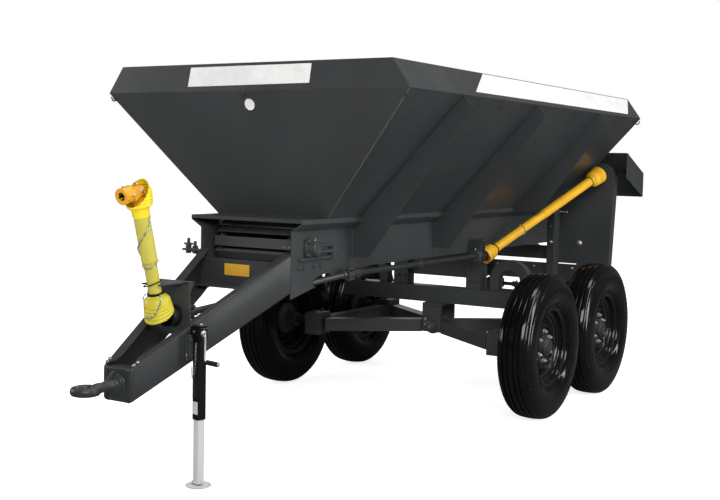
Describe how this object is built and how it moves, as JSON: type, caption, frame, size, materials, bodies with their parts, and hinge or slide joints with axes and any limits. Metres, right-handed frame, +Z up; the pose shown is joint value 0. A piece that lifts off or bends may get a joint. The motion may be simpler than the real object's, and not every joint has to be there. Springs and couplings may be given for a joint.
{
  "type": "towed lime and fertilizer spreader",
  "caption": "Towed spreader with an open V-shaped hopper over a chain conveyor, tandem bogie wheels, drawbar with parking jack, drive shafts and two spinning discs under a rear hood",
  "frame": {"origin": "on the ground, on the middle plane, halfway along the machine", "axes": "+X is the machine's left side, -Y is forward along the drawbar, +Z is up"},
  "size_m": [1.931, 4.785, 1.853],
  "materials": {
    "body_paint": "dark grey gloss enamel",
    "chassis_paint": "dark grey gloss enamel on the chassis",
    "tyre": "new black rubber",
    "rim_paint": "gloss black",
    "bare_steel": "bare oiled steel",
    "zinc_steel": "zinc plated",
    "stainless": "stainless sheet",
    "guard_yellow": "light yellow moulded guard",
    "guard_gold": "golden yellow moulded guard",
    "gear_case": "painted castings"
  },
  "bodies": {
    "chassis": {"bogie_arms": "chassis_paint", "bogie_bracket": "chassis_paint", "bogie_cross_beam": "chassis_paint", "bogie_sides": "chassis_paint", "chain_case": "chassis_paint", "conveyor_bearings": "gear_case", "conveyor_floor": "bare_steel", "conveyor_loop": "bare_steel", "conveyor_shafts": "bare_steel", "disc_drive_shafts": "bare_steel", "disc_gearboxes": "gear_case", "disc_shield": "body_paint", "drawbar_beam_left": "chassis_paint", "drawbar_beam_right": "chassis_paint", "drawbar_cross_plate": "chassis_paint", "drawbar_head": "chassis_paint", "drive_bulkhead": "chassis_paint", "flow_divider": "body_paint", "hitch_eye": "bare_steel", "hopper_front": "body_paint", "hopper_rear": "body_paint", "hopper_ribs": "body_paint", "hopper_side_left": "body_paint", "hopper_side_right": "body_paint", "input_gearbox": "gear_case", "input_stub": "bare_steel", "jack_bracket": "chassis_paint", "jack_crank": "chassis_paint", "jack_tube": "chassis_paint", "mouth_shelf": "body_paint", "rear_frame": "chassis_paint", "rear_hood": "body_paint", "rear_pto_guard": "guard_gold", "rear_pto_joints": "bare_steel", "side_bearing": "gear_case", "side_shaft": "bare_steel", "slanting_shaft": "bare_steel", "stub_axles": "bare_steel", "trough_cradle": "chassis_paint", "trough_side_left": "body_paint", "trough_side_right": "body_paint", "wing_plates": "body_paint"},
    "wheel_front_left": {"tyre_front_left": "tyre", "wheel_front_left": "rim_paint"},
    "wheel_front_right": {"tyre_front_right": "tyre", "wheel_front_right": "rim_paint"},
    "wheel_rear_left": {"tyre_rear_left": "tyre", "wheel_rear_left": "rim_paint"},
    "wheel_rear_right": {"tyre_rear_right": "tyre", "wheel_rear_right": "rim_paint"},
    "disc_left": {"spreading_disc_left": "stainless"},
    "disc_right": {"spreading_disc_right": "stainless"},
    "gate": {"discharge_gate": "body_paint"},
    "jack": {"jack_leg": "zinc_steel"},
    "front_drive_shaft": {"front_pto_guard": "guard_yellow", "front_pto_joints": "bare_steel"}
  },
  "joints": [
    {"name": "wheel_spin_front_left", "type": "hinge", "parent": "chassis", "child": "wheel_front_left", "pos_m": [0.863, 0.2475, 0.403], "axis": [1, 0, 0], "continuous": true},
    {"name": "wheel_spin_front_right", "type": "hinge", "parent": "chassis", "child": "wheel_front_right", "pos_m": [-0.863, 0.2475, 0.403], "axis": [1, 0, 0], "continuous": true},
    {"name": "wheel_spin_rear_left", "type": "hinge", "parent": "chassis", "child": "wheel_rear_left", "pos_m": [0.863, 1.1135, 0.403], "axis": [1, 0, 0], "continuous": true},
    {"name": "wheel_spin_rear_right", "type": "hinge", "parent": "chassis", "child": "wheel_rear_right", "pos_m": [-0.863, 1.1135, 0.403], "axis": [1, 0, 0], "continuous": true},
    {"name": "disc_spin_left", "type": "hinge", "parent": "chassis", "child": "disc_left", "pos_m": [0.3, 2.1425, 0.59], "axis": [0, 0, 1], "continuous": true},
    {"name": "disc_spin_right", "type": "hinge", "parent": "chassis", "child": "disc_right", "pos_m": [-0.3, 2.1425, 0.59], "axis": [0, 0, 1], "continuous": true},
    {"name": "gate_slide", "type": "slide", "parent": "chassis", "child": "gate", "axis": [0, 0, 1], "range_m": [0, 0.15]},
    {"name": "jack_travel", "type": "slide", "parent": "chassis", "child": "jack", "axis": [0, 0, 1], "range_m": [0, 0.24]},
    {"name": "front_shaft_swing", "type": "hinge", "parent": "chassis", "child": "front_drive_shaft", "pos_m": [0.045, -1.9475, 0.72502], "axis": [1, 0, 0], "range_deg": [0, 70]}
  ]
}
